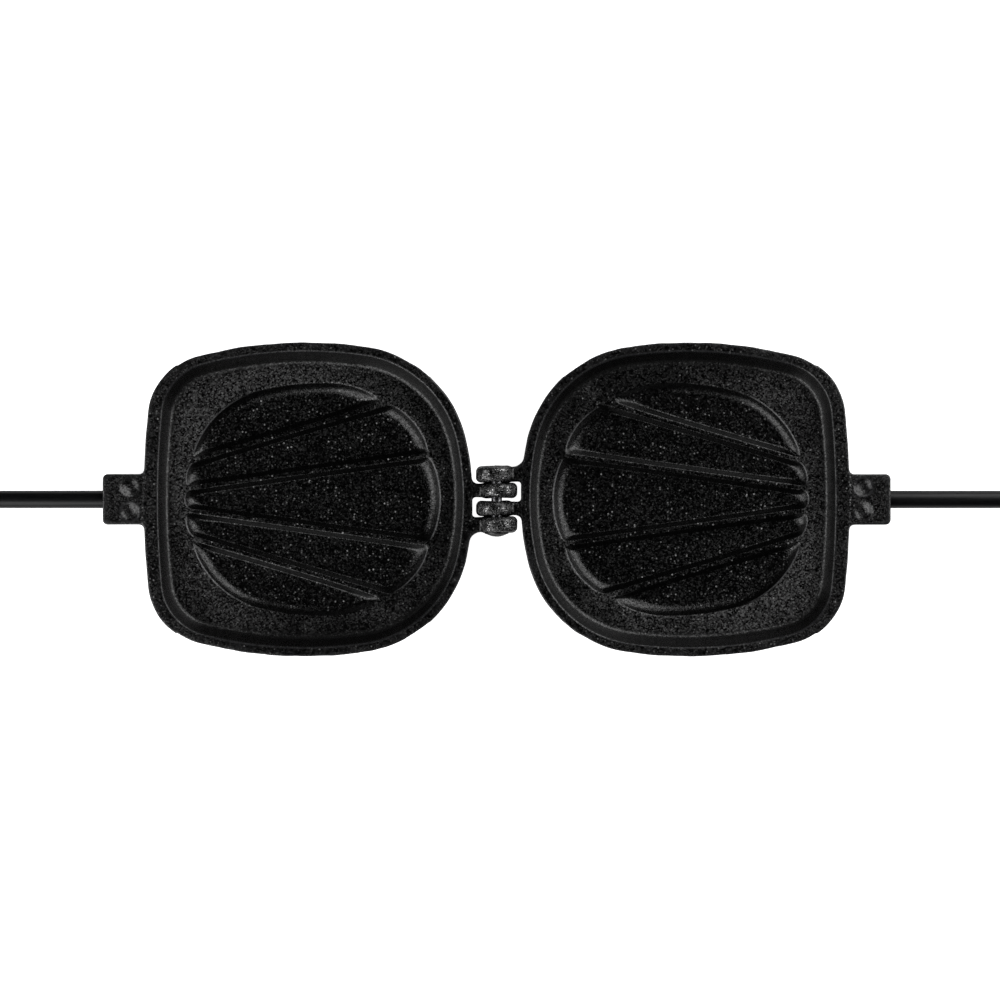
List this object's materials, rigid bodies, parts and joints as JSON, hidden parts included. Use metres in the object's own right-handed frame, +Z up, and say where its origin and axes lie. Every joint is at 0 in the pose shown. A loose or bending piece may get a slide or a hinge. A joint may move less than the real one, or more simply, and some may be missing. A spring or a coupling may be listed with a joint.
{
  "type": "hinged pie iron",
  "caption": "Hinged cast iron toasting mould with shell-lobed dishes, long steel rods, half-round wooden grips and an end latch.",
  "frame": {"origin": "on the plane the opened iron rests on, straight below the hinge axis, at the middle of the bounding box", "axes": "+X along the right handle from the hinge, +Y across the dishes, +Z up from the rest plane toward the cooking faces"},
  "size_m": [1.4224, 0.1422, 0.025],
  "materials": {
    "cast_iron": "seasoned sand casting, fine grain, worn bright on its edges",
    "rod_finish": "satin black coating on round bar",
    "pin_steel": "blackened steel",
    "grip_wood": "turned hardwood, oiled",
    "plated_steel": "zinc plated"
  },
  "bodies": {
    "left_half": {"left_iron": "cast_iron", "hinge_pin": "pin_steel", "left_rod": "rod_finish", "left_grip": "grip_wood", "left_front_washer": "plated_steel", "left_end_washer": "plated_steel", "left_cap_nut": "plated_steel"},
    "right_half": {"right_iron": "cast_iron", "right_rod": "rod_finish", "right_grip": "grip_wood", "right_front_washer": "plated_steel", "right_end_washer": "plated_steel", "latch_sleeve": "plated_steel", "right_cap_nut": "plated_steel"},
    "latch": {"latch_plate": "plated_steel"}
  },
  "joints": [
    {"name": "fold", "type": "hinge", "parent": "left_half", "child": "right_half", "pos_m": [0, 0, 0.01715], "axis": [0, -1, 0], "range_deg": [0, 180]},
    {"name": "latch_swing", "type": "hinge", "parent": "left_half", "child": "latch", "pos_m": [-0.6987, 0, 0.01], "axis": [1, 0, 0], "range_deg": [0, 90]}
  ]
}
